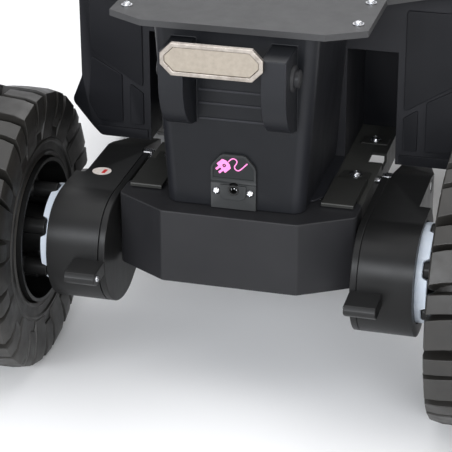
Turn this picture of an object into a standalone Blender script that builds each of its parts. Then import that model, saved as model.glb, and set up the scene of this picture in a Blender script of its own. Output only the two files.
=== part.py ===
"""Four wheel chassis: two steel rails, a body tub and deck, and four trailing gearbox arms with geared wheels.

Frame: metres, +Z up, +X to the right, +Y towards the front. The origin is on the ground under the
chassis centre. Each corner is modelled once in corner coordinates and mirrored to the four places:
u runs outboard from the centreline, v runs from the axle towards the chassis centre, w is height.
"""
import math

import bmesh
import bpy
from mathutils import Matrix, Vector

# Driving dimensions
WHEELBASE = 0.600
HALF_BASE = WHEELBASE / 2
WHEEL_R = 0.138
GAP = 0.0003
RUN = 0.0004

# Tyre and rim
TYRE_IN = 0.1967
TYRE_OUT = 0.3067
LUG_H = 0.010
LUGS = 14
SHOULDER_DROP = 0.012
SHOULDER_RUN = 0.008
CASING = 0.014
BEAD_STEP = 0.010
BEAD_R = 0.072
RIM_R = BEAD_R - 0.0009
RIM_WALL = 0.0035
WEB_IN = 0.232
WEB_OUT = 0.238
HUB_IN = 0.190
HUB_OUT = 0.270
HUB_R = 0.020
AXLE_R = 0.008
POST_R = 0.008
POST_RING_R = 0.043
POSTS = 6
NUT_R = 0.013
NUT_OUT = 0.285

# Gearbox arm
ARM_IN = 0.1174
SEAM = 0.1244
ARM_OUT = 0.165
DRUM_OUT = 0.1755
DRUM_R = 0.061
ARM_TOP = 0.1902
WALL = 0.003
EYE_V = 0.1012
EYE_W = 0.181
EYE_R = 0.007
BOLT_R = 0.0043
EYE_START = 0.0915
EYE_IN = 0.127
UNDERSIDE_START = -62
UNDERSIDE_SLOPE = 0.408
LUG_TIP = -0.0915
LUG_LOW = 0.127
LUG_TOP = 0.143
LUG_OUT = 0.148

# Gears: the module is the pitch diameter over the teeth
OUT_TEETH = 24
SMALL_TEETH = 8
OUT_MODULE = 0.00375
BIG_TEETH = 18
PINION_TEETH = 8
FIRST_MODULE = 0.0022
ADDENDUM = 0.7
DEDENDUM = 1.1
TIP_SHARE = 0.15
GEAR_IN = 0.149
GEAR_OUT = 0.159
POST_PIN_R = 0.004
MOTOR_IN = 0.0605
MOTOR_R = 0.018
IDLER_V = 0.055
PINION_V = 0.061
RING_R = 0.0475
RING_IN_R = 0.038
RING_FACE = 0.1813
LOBE_FACE = 0.1865

# Chassis
RAIL_IN = 0.072
RAIL_OUT = 0.1127
RAIL_TOP = 0.1912
RAIL_DEPTH = 0.025
RAIL_END = 0.2859
SHEET = 0.0025
BUMPER_Y = 0.3475
BUMPER_TOP = 0.1952
BUMPER_H = 0.073
COLUMN_Y = 0.3258
COLUMN_TOP = 0.3702
COLUMN_HALF = 0.066
COLUMN_FLARE = 0.0663
LUG_REACH = 0.022
PLATE_X = -0.008
TUB_Y = 0.1795
TUB_BOTTOM = RAIL_TOP + GAP
TUB_HALF = 0.197
BAY_HALF = 0.183
BAY_Y = 0.082
TUNNEL_TOP = 0.308
DECK_T = 0.006
TUBE_Y = 0.1685
TUBE_Z = 0.1780
TUBE_R = 0.008
PORT_X = 0.0005
PORT_Z = 0.2157
SOCKET_R = 0.006
JACK_R = 0.00325
SCREW_SHANK = 0.0015
SCREW_X = 0.0162
SCREW_Z = 0.2134

for old in list(bpy.data.objects):
    bpy.data.objects.remove(old)


def material(name, colour, roughness, metallic=0.0):
    """A plain Principled material."""
    made = bpy.data.materials.new(name)
    made.use_nodes = True
    shader = made.node_tree.nodes["Principled BSDF"]
    shader.inputs["Base Color"].default_value = (*colour, 1)
    shader.inputs["Roughness"].default_value = roughness
    shader.inputs["Metallic"].default_value = metallic
    return made


# Shapes: each returns a bmesh with its faces pointing out

def tidy(bm):
    """Close up the face directions of one solid."""
    bmesh.ops.recalc_face_normals(bm, faces=bm.faces)
    return bm


def loft(low, high):
    """A solid between two outlines with the same number of points."""
    bm = bmesh.new()
    first = [bm.verts.new(point) for point in low]
    last = [bm.verts.new(point) for point in high]
    bm.faces.new(first)
    bm.faces.new(last)
    for k in range(len(low)):
        n = (k + 1) % len(low)
        bm.faces.new((first[k], first[n], last[n], last[k]))
    return tidy(bm)


def prism_x(outline, low, high):
    """An outline of (Y, Z) points extruded along X."""
    return loft([(low, y, z) for y, z in outline], [(high, y, z) for y, z in outline])


def prism_y(outline, low, high):
    """An outline of (X, Z) points extruded along Y."""
    return loft([(x, low, z) for x, z in outline], [(x, high, z) for x, z in outline])


def prism_z(outline, low, high):
    """An outline of (X, Y) points extruded along Z."""
    return loft([(x, y, low) for x, y in outline], [(x, y, high) for x, y in outline])


def box(x0, x1, y0, y1, z0, z1):
    """A plain box."""
    return prism_z([(x0, y0), (x1, y0), (x1, y1), (x0, y1)], z0, z1)


def arc(centre, radius, start, end, steps):
    """Points on an arc, angles in degrees, both ends included."""
    turns = [math.radians(start + (end - start) * k / steps) for k in range(steps + 1)]
    return [(centre[0] + radius * math.cos(t), centre[1] + radius * math.sin(t)) for t in turns]


def circle(centre, radius, sides):
    """The corners of a round outline."""
    return arc(centre, radius, 0, 360 - 360 / sides, sides - 1)


def rod_x(centre, radius, low, high, sides=16):
    """A cylinder along X about a (Y, Z) centre."""
    return prism_x(circle(centre, radius, sides), low, high)


def rod_y(centre, radius, low, high, sides=16):
    """A cylinder along Y about an (X, Z) centre."""
    return prism_y(circle(centre, radius, sides), low, high)


def ring_x(centre, columns):
    """A closed ring about X: each column is a loop of (X, radius) points at its own angle."""
    bm = bmesh.new()
    made = []
    for angle, loop in columns:
        side, up = math.cos(angle), math.sin(angle)
        made.append([bm.verts.new((x, centre[0] + r * side, centre[1] + r * up)) for x, r in loop])
    for a, column in enumerate(made):
        following = made[(a + 1) % len(made)]
        for b in range(len(column)):
            c = (b + 1) % len(column)
            bm.faces.new((column[b], column[c], following[c], following[b]))
    return tidy(bm)


def turned_x(centre, loop, sides):
    """A turned ring about X from one closed loop of (X, radius) points."""
    return ring_x(centre, [(math.tau * k / sides, loop) for k in range(sides)])


def spindle(point, profile, sides):
    """A turned solid whose profile of (along, radius) points starts and ends on its axis.

    point places (along, angle, radius) in space.
    """
    bm = bmesh.new()
    start = bm.verts.new(point(profile[0][0], 0, 0))
    end = bm.verts.new(point(profile[-1][0], 0, 0))
    rows = []
    for along, radius in profile[1:-1]:
        rows.append([bm.verts.new(point(along, math.tau * k / sides, radius)) for k in range(sides)])
    for k in range(sides):
        n = (k + 1) % sides
        bm.faces.new((start, rows[0][k], rows[0][n]))
        bm.faces.new((end, rows[-1][n], rows[-1][k]))
        for near, far in zip(rows, rows[1:]):
            bm.faces.new((near[k], far[k], far[n], near[n]))
    return tidy(bm)


def spindle_x(centre, profile, sides=16):
    """A spindle along X about a (Y, Z) centre."""
    def point(along, angle, radius):
        return along, centre[0] + radius * math.cos(angle), centre[1] + radius * math.sin(angle)
    return spindle(point, profile, sides)


def spindle_y(centre, profile, sides=12):
    """A spindle along Y about an (X, Z) centre."""
    def point(along, angle, radius):
        return centre[0] + radius * math.cos(angle), along, centre[1] + radius * math.sin(angle)
    return spindle(point, profile, sides)


def gear_outline(centre, teeth, module, phase):
    """Straight-flanked teeth with one tooth pointing at the phase angle."""
    pitch = teeth * module / 2
    tip_r = pitch + ADDENDUM * module
    root_r = pitch - DEDENDUM * module
    half = math.pi / teeth
    points = []
    for k in range(teeth):
        middle = phase + math.tau * k / teeth
        for angle, radius in ((-half, root_r), (-TIP_SHARE * half, tip_r), (TIP_SHARE * half, tip_r)):
            turn = middle + angle
            points.append((centre[0] + radius * math.cos(turn), centre[1] + radius * math.sin(turn)))
    return points


# Objects

def mesh_object(name, bm, origin):
    """An object whose mesh is stored about its own origin."""
    bmesh.ops.translate(bm, verts=bm.verts, vec=-Vector(origin))
    mesh = bpy.data.meshes.new(name)
    bm.to_mesh(mesh)
    bm.free()
    made = bpy.data.objects.new(name, mesh)
    made.location = origin
    bpy.context.collection.objects.link(made)
    return made


def boolean(target, number, bm, operation):
    """Cut a shape from the target, or join it on."""
    cutter = mesh_object(f"{target.name}_tool_{number}", bm, target.location)
    cutter.hide_render = True
    cutter.display_type = "WIRE"
    step = target.modifiers.new(f"step_{number}", "BOOLEAN")
    step.object = cutter
    step.operation = operation
    step.solver = "EXACT"


def piece(name, bm, finish, origin=(0, 0, 0), joins=(), cuts=(), last=()):
    """A named sub-part: a base shape, the shapes joined to it, those cut from it, and those joined last."""
    made = mesh_object(name, bm, origin)
    made.data.materials.append(finish)
    made.data.shade_smooth()
    made.data.set_sharp_from_angle(angle=math.radians(35))
    steps = [(shape, "UNION") for shape in joins]
    steps += [(shape, "DIFFERENCE") for shape in cuts]
    steps += [(shape, "UNION") for shape in last]
    for number, (shape, operation) in enumerate(steps):
        boolean(made, number, shape, operation)
    return made


class Corner:
    """One of the four corners: maps corner coordinates to the chassis frame."""

    def __init__(self, end, side):
        self.tag = ("r" if end < 0 else "f") + ("l" if side < 0 else "r")
        self.matrix = Matrix(((side, 0, 0, 0), (0, -end, 0, end * HALF_BASE), (0, 0, 1, 0), (0, 0, 0, 1)))
        self.axle = self.place(0, 0, WHEEL_R)
        self.eye = self.place(0, EYE_V, EYE_W)

    def place(self, u, v, w):
        return self.matrix @ Vector((u, v, w))

    def shape(self, bm):
        """Move a shape from corner coordinates to the chassis frame."""
        bm.transform(self.matrix)
        if self.matrix.determinant() < 0:
            bmesh.ops.reverse_faces(bm, faces=bm.faces)
        return bm

    def piece(self, name, bm, finish, origin, parent, joins=(), cuts=(), last=()):
        made = piece(f"{name}_{self.tag}", self.shape(bm), finish, origin,
                     [self.shape(s) for s in joins], [self.shape(s) for s in cuts],
                     [self.shape(s) for s in last])
        made.parent = parent
        made.matrix_parent_inverse = Matrix.Translation(-parent.location)
        return made

    def empty(self, name, origin):
        made = bpy.data.objects.new(f"{name}_{self.tag}", None)
        made.location = origin
        bpy.context.collection.objects.link(made)
        return made


AXLE = (0, WHEEL_R)
OUT_R = OUT_TEETH * OUT_MODULE / 2
IDLER_REACH = OUT_R + SMALL_TEETH * OUT_MODULE / 2
IDLER = (IDLER_V, WHEEL_R + math.sqrt(IDLER_REACH ** 2 - IDLER_V ** 2))
PINION_REACH = (BIG_TEETH + PINION_TEETH) * FIRST_MODULE / 2
PINION = (PINION_V, IDLER[1] - math.sqrt(PINION_REACH ** 2 - (PINION_V - IDLER_V) ** 2))
TO_IDLER = math.atan2(IDLER[1] - AXLE[1], IDLER[0] - AXLE[0])
TO_PINION = math.atan2(PINION[1] - IDLER[1], PINION[0] - IDLER[0])


def tyre_columns():
    """Open-bellied tyre section, taller where a lug stands."""
    carcass = WHEEL_R - LUG_H
    step = math.tau / LUGS
    for k in range(LUGS):
        for turn, crown in ((0.22, WHEEL_R), (0.5, WHEEL_R), (0.78, WHEEL_R), (1.0, carcass)):
            shoulder = crown - SHOULDER_DROP
            belly = carcass - CASING
            loop = [(TYRE_IN + BEAD_STEP, BEAD_R), (TYRE_IN, shoulder), (TYRE_IN + SHOULDER_RUN, crown),
                    (TYRE_OUT - SHOULDER_RUN, crown), (TYRE_OUT, shoulder), (TYRE_OUT - BEAD_STEP, BEAD_R),
                    (TYRE_OUT - 2 * BEAD_STEP, BEAD_R), (TYRE_OUT - CASING, belly), (TYRE_IN + CASING, belly),
                    (TYRE_IN + 2 * BEAD_STEP, BEAD_R)]
            yield step * (k + turn), loop


def build_wheel(corner, hub):
    """Tyre, rim with drive posts, and the nylon output gear with its dog ring."""
    corner.piece("tyre", ring_x(AXLE, list(tyre_columns())), RUBBER, corner.axle, hub)

    barrel_in, barrel_out = TYRE_IN + 0.009, TYRE_OUT - 0.009
    lip = RIM_R - RIM_WALL
    loop = [(HUB_IN, AXLE_R + RUN), (HUB_IN, HUB_R), (WEB_IN, HUB_R), (WEB_IN, lip), (barrel_in, lip),
            (barrel_in, RIM_R), (barrel_out, RIM_R), (barrel_out, lip), (WEB_OUT, lip), (WEB_OUT, HUB_R),
            (HUB_OUT, HUB_R), (HUB_OUT, AXLE_R + RUN)]
    posts = []
    for k in range(POSTS):
        turn = math.tau * (k + 0.5) / POSTS
        centre = (POST_RING_R * math.cos(turn), WHEEL_R + POST_RING_R * math.sin(turn))
        posts.append(rod_x(centre, POST_R, RING_FACE + GAP, WEB_IN + 0.002, 8))
    corner.piece("rim", turned_x(AXLE, loop, 16), BLACK_GLOSS, corner.axle, hub, joins=posts)

    disc = prism_x(gear_outline(AXLE, OUT_TEETH, OUT_MODULE, TO_IDLER), GEAR_IN, GEAR_OUT)
    columns = []
    root = GEAR_OUT - 0.0005
    for k in range(POSTS):
        for turn, face in ((-0.30, LOBE_FACE), (0.30, LOBE_FACE), (0.31, RING_FACE), (0.69, RING_FACE)):
            loop = [(root, RING_IN_R), (root, RING_R), (face, RING_R), (face, RING_IN_R)]
            columns.append((math.tau * (k + turn) / POSTS, loop))
    bore = rod_x(AXLE, AXLE_R + RUN, GEAR_IN - 0.01, GEAR_OUT + 0.01, 12)
    corner.piece("drive_gear", disc, NYLON, corner.axle, hub, joins=[ring_x(AXLE, columns)], cuts=[bore])


def arm_outline(inset):
    """Drum and arm seen from the side, from the eye wall round the drum."""
    radius = DRUM_R - inset
    top = ARM_TOP - inset
    start = math.degrees(math.asin((top - WHEEL_R) / radius))
    round_part = arc(AXLE, radius, 180 - start, 360 + UNDERSIDE_START, 11)
    foot = round_part[-1]
    limit = EYE_START - inset
    corner_low = (limit, foot[1] + UNDERSIDE_SLOPE * (limit - foot[0]))
    return round_part + [corner_low, (limit, top)]


def eye_outline():
    """The solid end of the arm round the pivot eye."""
    root, nose = EYE_START - WALL, 0.160
    return [(root, 0.112), (0.150, 0.134), (nose, 0.145), (nose, 0.1762), (0.1025, ARM_TOP), (root, ARM_TOP)]


def build_arm(corner, mount):
    """Gearbox halves, stub axle, motor and the rubber bush, all on the trailing arm."""
    eye = (EYE_V, EYE_W)
    drum_start = math.degrees(math.asin((ARM_TOP - WHEEL_R) / DRUM_R))
    drum = prism_x(arc(AXLE, DRUM_R, 180 - drum_start, 360 + drum_start, 16), SEAM, DRUM_OUT)
    eye_block = prism_x(eye_outline(), EYE_IN, ARM_OUT)
    lug = box(SEAM, LUG_OUT, LUG_TIP, -0.052, LUG_LOW, LUG_TOP)
    lug_end = box(ARM_IN + 0.0005, SEAM + 0.002, LUG_TIP, -DRUM_R - 0.0008, LUG_LOW, LUG_TOP)
    cuts = [prism_x(arm_outline(WALL), 0.110, ARM_OUT - WALL),
            rod_x(AXLE, DRUM_R - WALL, ARM_OUT - 0.006, DRUM_OUT - WALL, 24),
            rod_x(AXLE, RING_R + 0.0014, 0.160, 0.190, 20),
            rod_x(eye, EYE_R, 0.120, 0.170, 12)]
    idler_post = rod_x(IDLER, POST_PIN_R, 0.130, ARM_OUT - 0.001, 8)
    corner.piece("gearbox_shell", prism_x(arm_outline(0), SEAM, ARM_OUT), BLACK_GLOSS, corner.eye, mount,
                 joins=[drum, eye_block, lug, lug_end], cuts=cuts, last=[idler_post])

    hollow = prism_x(arm_outline(WALL), ARM_IN + WALL, SEAM + 0.002)
    shaft_hole = rod_x(PINION, 0.006, 0.110, 0.130, 8)
    corner.piece("gearbox_cover", prism_x(arm_outline(0), ARM_IN, SEAM - GAP), BLACK_GLOSS, corner.eye, mount,
                 cuts=[hollow, shaft_hole])

    head_in = ARM_IN + WALL + GAP
    nut_in = HUB_OUT + 0.0005
    profile = [(head_in, 0), (head_in, 0.014), (0.1245, 0.014), (0.1245, 0.012), (0.1485, 0.012),
               (0.1485, AXLE_R), (nut_in, AXLE_R), (nut_in, NUT_R), (NUT_OUT - 0.004, NUT_R),
               (NUT_OUT, NUT_R - 0.004), (NUT_OUT, 0)]
    corner.piece("axle", spindle_x(AXLE, profile, 12), ZINC, corner.eye, mount)

    body = [(MOTOR_IN, 0), (MOTOR_IN, 0.007), (MOTOR_IN + 0.005, 0.007),
            (MOTOR_IN + 0.005, MOTOR_R - 0.002), (MOTOR_IN + 0.007, MOTOR_R), (ARM_IN - GAP, MOTOR_R),
            (ARM_IN - GAP, 0)]
    corner.piece("motor", spindle_x(PINION, body, 12), STEEL, corner.eye, mount,
                 cuts=[rod_x(PINION, 0.0032, 0.098, 0.120, 8)])

    sleeve = [(EYE_IN + GAP, BOLT_R + GAP), (EYE_IN + GAP, EYE_R - GAP), (ARM_OUT - GAP, EYE_R - GAP),
              (ARM_OUT - GAP, BOLT_R + GAP)]
    corner.piece("pivot_bush", turned_x(eye, sleeve, 12), RUBBER, corner.eye, mount)


def build_train(corner, mount):
    """The compound idler on its moulded post, and the motor's shaft with its pinion."""
    small_phase = TO_IDLER + math.pi + math.pi / SMALL_TEETH
    small = prism_x(gear_outline(IDLER, SMALL_TEETH, OUT_MODULE, small_phase), 0.140, 0.1580)
    big = prism_x(gear_outline(IDLER, BIG_TEETH, FIRST_MODULE, TO_PINION), 0.134, 0.1475)
    origin = corner.place(0, *IDLER)
    corner.piece("idler_gear", big, NYLON, origin, mount, joins=[small],
                 cuts=[rod_x(IDLER, POST_PIN_R + RUN, 0.130, 0.170, 12)])

    phase = TO_PINION + math.pi + math.pi / PINION_TEETH
    teeth = prism_x(gear_outline(PINION, PINION_TEETH, FIRST_MODULE, phase), 0.132, 0.1465)
    shaft = rod_x(PINION, 0.0026, 0.104, 0.134, 8)
    corner.piece("pinion", teeth, BRASS, corner.place(0, *PINION), mount, joins=[shaft])


def build_pivot(corner):
    """The pivot bolt: a nut inside the rail, a hex collar in the gap and the shank in the arm's eye."""
    eye = (EYE_V, EYE_W)
    nut_out = RAIL_OUT - SHEET - GAP
    profile = [(nut_out - 0.006, 0), (nut_out - 0.006, 0.006), (nut_out, 0.006), (nut_out, BOLT_R),
               (ARM_OUT - 0.001, BOLT_R), (ARM_OUT, BOLT_R - 0.001), (ARM_OUT, 0)]
    collar = rod_x(eye, 0.0090, 0.1183, EYE_IN - 0.0006, 6)
    made = corner.piece("pivot_bolt", spindle_x(eye, profile, 10), ZINC, corner.eye,
                        corner.empty("rail", corner.eye), joins=[collar])
    made.data.set_sharp_from_angle(angle=math.radians(25))


def build_corner(end, side):
    """Everything at one wheel, hung from empties at the arm's pivot and the axle."""
    corner = Corner(end, side)
    mount = corner.empty("arm", corner.eye)
    hub = corner.empty("hub", corner.axle)
    build_wheel(corner, hub)
    build_arm(corner, mount)
    build_train(corner, mount)
    build_pivot(corner)


# Chassis pieces

def build_rail(name, side):
    """An inverted channel with the pivot holes, the cross tube holes and a notch over each tube."""
    profile = [(RAIL_IN, RAIL_TOP), (RAIL_OUT, RAIL_TOP), (RAIL_OUT, RAIL_TOP - RAIL_DEPTH),
               (RAIL_OUT - SHEET, RAIL_TOP - RAIL_DEPTH), (RAIL_OUT - SHEET, RAIL_TOP - SHEET),
               (RAIL_IN + SHEET, RAIL_TOP - SHEET), (RAIL_IN + SHEET, RAIL_TOP - RAIL_DEPTH),
               (RAIL_IN, RAIL_TOP - RAIL_DEPTH)]
    cuts = []
    for end in (-1, 1):
        pivot_y = end * (HALF_BASE - EYE_V)
        tube_y = end * TUBE_Y
        outer = sorted((side * (RAIL_OUT - 0.006), side * (RAIL_OUT + 0.002)))
        inner = sorted((side * (RAIL_IN - 0.002), side * (RAIL_IN + 0.006)))
        notch = sorted((side * 0.098, side * (RAIL_OUT + 0.002)))
        cuts.append(rod_x((pivot_y, EYE_W), BOLT_R + GAP, *outer, 12))
        cuts.append(rod_x((tube_y, TUBE_Z), TUBE_R + GAP, *inner, 16))
        cuts.append(box(*notch, tube_y - 0.013, tube_y + 0.013, RAIL_TOP - 0.008, RAIL_TOP + 0.002))
    piece(name, prism_y([(side * x, z) for x, z in profile], -RAIL_END, RAIL_END), STEEL, cuts=cuts)


def bumper_outline(inset):
    """Flat middle, angled sides and rounded outer corners, for the rear end."""
    back = RAIL_END + GAP + inset
    half_flat = 0.065 - inset * 0.27
    side = 0.1145 - inset
    knee = -BUMPER_Y + 0.0295 + inset * 0.75
    right = [(half_flat, -BUMPER_Y + inset), (side - 0.006, knee - 0.0036), (side - 0.0015, knee + 0.0005),
             (side, knee + 0.0055), (side, -back)]
    return right + [(-x, y) for x, y in reversed(right)]


def build_bumper(name, end):
    """A moulded bumper, open underneath."""
    base, top = BUMPER_TOP - BUMPER_H, BUMPER_TOP
    outer = [(x, -end * y) for x, y in bumper_outline(0)]
    inner = [(x, -end * y) for x, y in bumper_outline(WALL)]
    piece(name, prism_z(outer, base, top), BLACK_SATIN, cuts=[prism_z(inner, base - 0.005, top - WALL)])


def column_outline(half, inset, end):
    """Square-backed plan with rounded corners on the outer face."""
    face = COLUMN_Y - inset
    radius = 0.012
    x = half - inset
    right = arc((x - radius, face - radius), radius, 90, 0, 4)
    plan = [(-p, q) for p, q in reversed(right)] + right + [(x, TUB_Y + GAP + inset), (-x, TUB_Y + GAP + inset)]
    return [(p, end * q) for p, q in plan]


def column_shape(inset, low, high, end):
    """The tapering column between two heights."""
    halves = [COLUMN_HALF + COLUMN_FLARE * (z - BUMPER_TOP) for z in (low, high)]
    outlines = [column_outline(half, inset, end) for half in halves]
    return loft([(x, y, low) for x, y in outlines[0]], [(x, y, high) for x, y in outlines[1]])


def bracket(side):
    """A deep lug with a rounded underside, standing out from the column's outer face."""
    root, nose = -COLUMN_Y + 0.0015, -BUMPER_Y - LUG_REACH
    top, low, rise, steps = BUMPER_TOP + 0.165, BUMPER_TOP + 0.084, 0.050, 6
    turns = [math.pi / 2 * k / steps for k in range(steps + 1)]
    under = [(root + (nose - root) * math.sin(t), low + rise * (1 - math.cos(t))) for t in turns]
    return prism_x(under + [(nose, top), (root, top)], *sorted((side * 0.0355, side * 0.0585)))


def build_columns():
    """The rear column carries the charging port and two lugs; the front one is plain."""
    base, top = BUMPER_TOP + GAP, COLUMN_TOP
    hollow_top = top - WALL
    out, through = -COLUMN_Y - 0.01, -COLUMN_Y + 0.01
    port_cuts = [rod_y((PORT_X, PORT_Z), SOCKET_R + GAP, out, through)]
    for side in (-1, 1):
        port_cuts.append(rod_y((side * SCREW_X, SCREW_Z), SCREW_SHANK + GAP, out, through, 8))
    piece("column_rear", column_shape(0, base, top, -1), BLACK_SATIN, joins=[bracket(-1), bracket(1)],
          cuts=[column_shape(WALL, base - 0.004, hollow_top, -1)] + port_cuts)
    piece("column_front", column_shape(0, base, top, 1), BLACK_SATIN,
          cuts=[column_shape(WALL, base - 0.004, hollow_top, 1)])


def build_port():
    """Arched port plate, charge socket and its two screws."""
    back = -COLUMN_Y - GAP
    face = back - WALL
    low = BUMPER_TOP + 0.0006
    right = [(0.0215, low), (0.0215, low + 0.044), (0.011, low + 0.0545)]
    outline = right + [(-x, z) for x, z in reversed(right)]
    groove = box(-0.022, 0.022, face - 0.001, face + 0.0012, BUMPER_TOP + 0.0255, BUMPER_TOP + 0.0295)
    cuts = [groove, rod_y((PORT_X, PORT_Z), SOCKET_R + GAP, face - 0.002, back + 0.002)]
    for side in (-1, 1):
        cuts.append(rod_y((side * SCREW_X, SCREW_Z), SCREW_SHANK + GAP, face - 0.002, back + 0.002, 8))
    piece("port_plate", prism_y(outline, face, back), GREY, cuts=cuts)

    mouth = face - 0.001
    barrel = [(mouth, 0), (mouth, SOCKET_R), (mouth + 0.020, SOCKET_R), (mouth + 0.020, 0)]
    piece("charge_socket", spindle_y((PORT_X, PORT_Z), barrel, 16), BLACK_GLOSS,
          cuts=[rod_y((PORT_X, PORT_Z), JACK_R, mouth - 0.002, mouth + 0.013)])

    seat = face - GAP
    for name, side in (("port_screw_left", -1), ("port_screw_right", 1)):
        profile = [(seat - 0.0025, 0), (seat - 0.0021, 0.0022), (seat - 0.0008, 0.00375), (seat, 0.00375),
                   (seat, SCREW_SHANK), (seat + 0.012, SCREW_SHANK), (seat + 0.013, 0)]
        piece(name, spindle_y((side * SCREW_X, SCREW_Z), profile), ZINC,
              (side * SCREW_X, seat, SCREW_Z))


def build_tail_plate():
    """Rimmed plate with cut corners, across the fronts of the two lugs."""
    back = -BUMPER_Y - LUG_REACH - GAP
    low, high = BUMPER_TOP + 0.146, BUMPER_TOP + 0.1765

    def outline(inset):
        half, cut = 0.047 - inset, 0.010 - inset * 0.4
        base, top = low + inset, high - inset
        right = [(half - cut, base), (half, base + cut), (half, top - cut), (half - cut, top)]
        return [(PLATE_X + x, z) for x, z in right + [(-x, z) for x, z in reversed(right)]]

    piece("tail_plate", prism_y(outline(0), back - 0.005, back), ZINC,
          cuts=[prism_y(outline(0.004), back - 0.007, back - 0.0035)])


def build_tub():
    """Body tub with swept fenders, a tunnel over each rail end and an open top."""
    base, top, flare_top = TUB_BOTTOM, COLUMN_TOP, TUB_BOTTOM + 0.0625
    right = [(0.178, base), (0.187, base + 0.0095), (0.208, base + 0.0355), (TUB_HALF, flare_top), (TUB_HALF, top)]
    body = prism_y(right + [(-x, z) for x, z in reversed(right)], -TUB_Y, TUB_Y)
    floor, inside, over = base + WALL, TUB_Y - WALL, TUNNEL_TOP
    wide, middle, shoulder = TUB_HALF - 0.004, RAIL_IN - 0.0005, over + 0.003
    cuts = [box(-BAY_HALF, BAY_HALF, -BAY_Y, BAY_Y, floor, top + 0.01),
            box(-middle, middle, -inside, inside, floor, top + 0.01),
            box(-wide, wide, -inside, inside, shoulder, top + 0.01)]
    for side in (-1, 1):
        pod = sorted((side * 0.1285, side * BAY_HALF))
        tunnel = sorted((side * 0.0750, side * 0.1250))
        upper = sorted((side * 0.1285, side * wide))
        cuts.append(box(*pod, -inside, inside, floor, shoulder + 0.01))
        cuts.append(box(*upper, -inside, inside, flare_top + 0.0035, shoulder + 0.01))
        for end in (-1, 1):
            depth = sorted((end * 0.0855, end * (TUB_Y + 0.002)))
            cuts.append(box(*tunnel, *depth, base - 0.002, over))
    piece("body_tub", body, BLACK_SATIN, cuts=cuts)


def build_top():
    """Deck plate over the tub and both columns, and the battery on the tub's floor."""
    right = [(0.085, -0.335), (0.120, -0.315), (0.120, -0.225), (0.200, -0.165), (0.200, 0.165), (0.120, 0.225),
             (0.120, 0.315), (0.085, 0.335)]
    outline = right + [(-x, y) for x, y in reversed(right)]
    piece("deck", prism_z(outline, COLUMN_TOP + GAP, COLUMN_TOP + GAP + DECK_T), BLACK_SATIN)
    floor = TUB_BOTTOM + WALL + GAP
    piece("battery", box(-0.0755, 0.0755, -0.049, 0.049, floor, floor + 0.094), GREY)


def build_tube(name, end):
    """A steel tube between the rails, ending inside each channel."""
    reach = RAIL_OUT - SHEET - GAP
    bore = TUBE_R - 0.0015
    loop = [(-reach, bore), (-reach, TUBE_R), (reach, TUBE_R), (reach, bore)]
    piece(name, turned_x((end * TUBE_Y, TUBE_Z), loop, 16), ZINC)


RUBBER = material("rubber", (0.020, 0.019, 0.018), 0.62)
BLACK_GLOSS = material("black_gloss", (0.018, 0.018, 0.020), 0.28)
BLACK_SATIN = material("black_satin", (0.022, 0.022, 0.024), 0.46)
GREY = material("dark_grey", (0.055, 0.058, 0.056), 0.5)
NYLON = material("nylon", (0.72, 0.78, 0.86), 0.42)
STEEL = material("black_steel", (0.030, 0.030, 0.032), 0.35, 0.6)
ZINC = material("zinc", (0.70, 0.70, 0.72), 0.26, 1.0)
BRASS = material("brass", (0.72, 0.55, 0.25), 0.3, 1.0)

for corner_end in (-1, 1):
    for corner_side in (-1, 1):
        build_corner(corner_end, corner_side)
build_rail("rail_left", -1)
build_rail("rail_right", 1)
build_bumper("bumper_rear", -1)
build_bumper("bumper_front", 1)
build_tube("cross_tube_rear", -1)
build_tube("cross_tube_front", 1)
build_columns()
build_port()
build_tail_plate()
build_tub()
build_top()
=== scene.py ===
"""Looks of the four wheel chassis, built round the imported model.

Metres, +Z up, +X right, +Y to the front. A corner is modelled once in corner coordinates: u outboard
from the centreline, v from the axle towards the chassis centre, w height. It is then mirrored.
"""
from math import asin, atan2, cos, degrees, pi, radians, sin, tan, tau

import bmesh
import bpy
from mathutils import Matrix, Vector


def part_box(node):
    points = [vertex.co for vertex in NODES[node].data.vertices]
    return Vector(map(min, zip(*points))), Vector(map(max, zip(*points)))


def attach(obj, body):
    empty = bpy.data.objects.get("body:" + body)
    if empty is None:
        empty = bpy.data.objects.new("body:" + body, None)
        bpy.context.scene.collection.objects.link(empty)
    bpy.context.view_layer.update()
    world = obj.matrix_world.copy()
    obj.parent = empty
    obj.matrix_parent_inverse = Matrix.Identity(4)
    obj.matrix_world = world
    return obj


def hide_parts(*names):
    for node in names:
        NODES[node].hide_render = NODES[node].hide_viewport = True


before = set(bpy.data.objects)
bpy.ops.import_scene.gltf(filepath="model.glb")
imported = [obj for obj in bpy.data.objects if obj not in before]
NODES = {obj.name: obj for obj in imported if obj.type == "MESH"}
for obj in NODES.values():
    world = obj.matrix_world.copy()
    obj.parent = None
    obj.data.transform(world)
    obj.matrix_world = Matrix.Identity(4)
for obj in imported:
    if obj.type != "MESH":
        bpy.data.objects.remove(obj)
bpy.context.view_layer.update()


def mid(node):
    low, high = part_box(node)
    return (low + high) / 2


# Sizes read from the frame
AXLE_Y = mid("axle_rr").y
WHEEL_R = mid("tyre_rr").z
TYRE_LOW, TYRE_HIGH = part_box("tyre_rr")
TYRE_MID = mid("tyre_rr").x
HALF_BASE = -AXLE_Y
SHELL_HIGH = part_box("gearbox_shell_rr")[1]
COVER_LOW, COVER_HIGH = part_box("gearbox_cover_rr")
RING_LOW, RING_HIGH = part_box("drive_gear_rr")
RIM_LOW, RIM_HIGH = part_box("rim_rr")
BOLT = mid("pivot_bolt_rr")
EYE = (BOLT.y + HALF_BASE, BOLT.z)
MOTOR_LOW, MOTOR_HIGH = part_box("motor_rr")
MOTOR_AT = (mid("motor_rr").y + HALF_BASE, mid("motor_rr").z)
BUMPER_LOW, BUMPER_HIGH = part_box("bumper_rear")
COLUMN_LOW, COLUMN_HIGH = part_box("column_rear")
PORT_LOW, PORT_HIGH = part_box("port_plate")
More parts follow.
